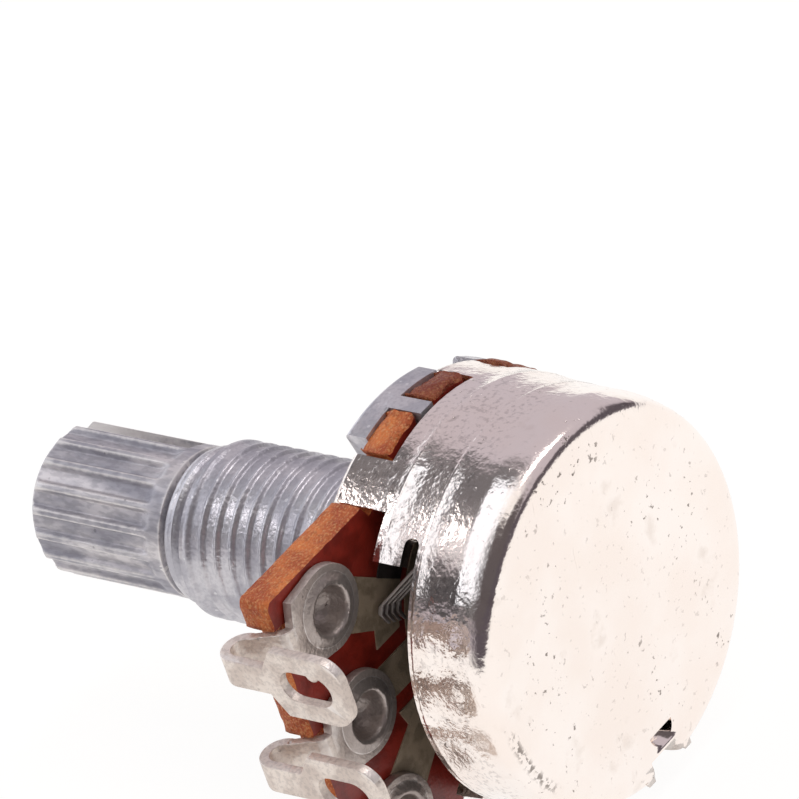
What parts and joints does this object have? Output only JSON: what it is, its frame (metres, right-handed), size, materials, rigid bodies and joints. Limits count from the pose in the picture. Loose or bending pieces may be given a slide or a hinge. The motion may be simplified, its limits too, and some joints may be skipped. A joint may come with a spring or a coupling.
{
  "type": "rotary potentiometer",
  "caption": "Panel-mount rotary potentiometer with a knurled split shaft, threaded bushing, tinned cover and folded solder lugs.",
  "frame": {"origin": "on the shaft axis, in the plane of the mounting plate's panel face, where the threaded bushing starts", "axes": "shaft axis along Y with the knurled tip at -Y and the closed cover at +Y; solder lugs stand out to +X and their row runs along Z"},
  "size_m": [0.0209, 0.0269, 0.0166],
  "materials": {
    "shaft_aluminium": "drawn and knurled, satin",
    "die_cast": "die-cast, satin",
    "spring_steel": "oiled",
    "phenolic": "pressed paper laminate, sawn edges",
    "carbon": "printed carbon film",
    "conductive_ink": "printed silver ink",
    "tinned_lug": "tinned, satin",
    "eyelet_tin": "tinned, satin",
    "rotor_plastic": "moulded",
    "wiper_bronze": "nickel-silver spring",
    "cover_tin": "bright tinplate"
  },
  "bodies": {
    "housing": {"bushing_plate": "die_cast", "board": "phenolic", "resistive_track": "carbon", "end_electrode_1": "conductive_ink", "end_electrode_3": "conductive_ink", "collector_track": "conductive_ink", "terminal_1": "tinned_lug", "terminal_2": "tinned_lug", "terminal_3": "tinned_lug", "eyelet_1": "eyelet_tin", "eyelet_2": "eyelet_tin", "eyelet_3": "eyelet_tin", "cover": "cover_tin"},
    "spindle": {"shaft": "shaft_aluminium", "retaining_ring": "spring_steel", "rotor": "rotor_plastic", "wiper": "wiper_bronze"}
  },
  "joints": [
    {"name": "shaft_turn", "type": "hinge", "parent": "housing", "child": "spindle", "pos_m": [0, 0, 0], "axis": [0, -1, 0], "range_deg": [0, 300]}
  ]
}
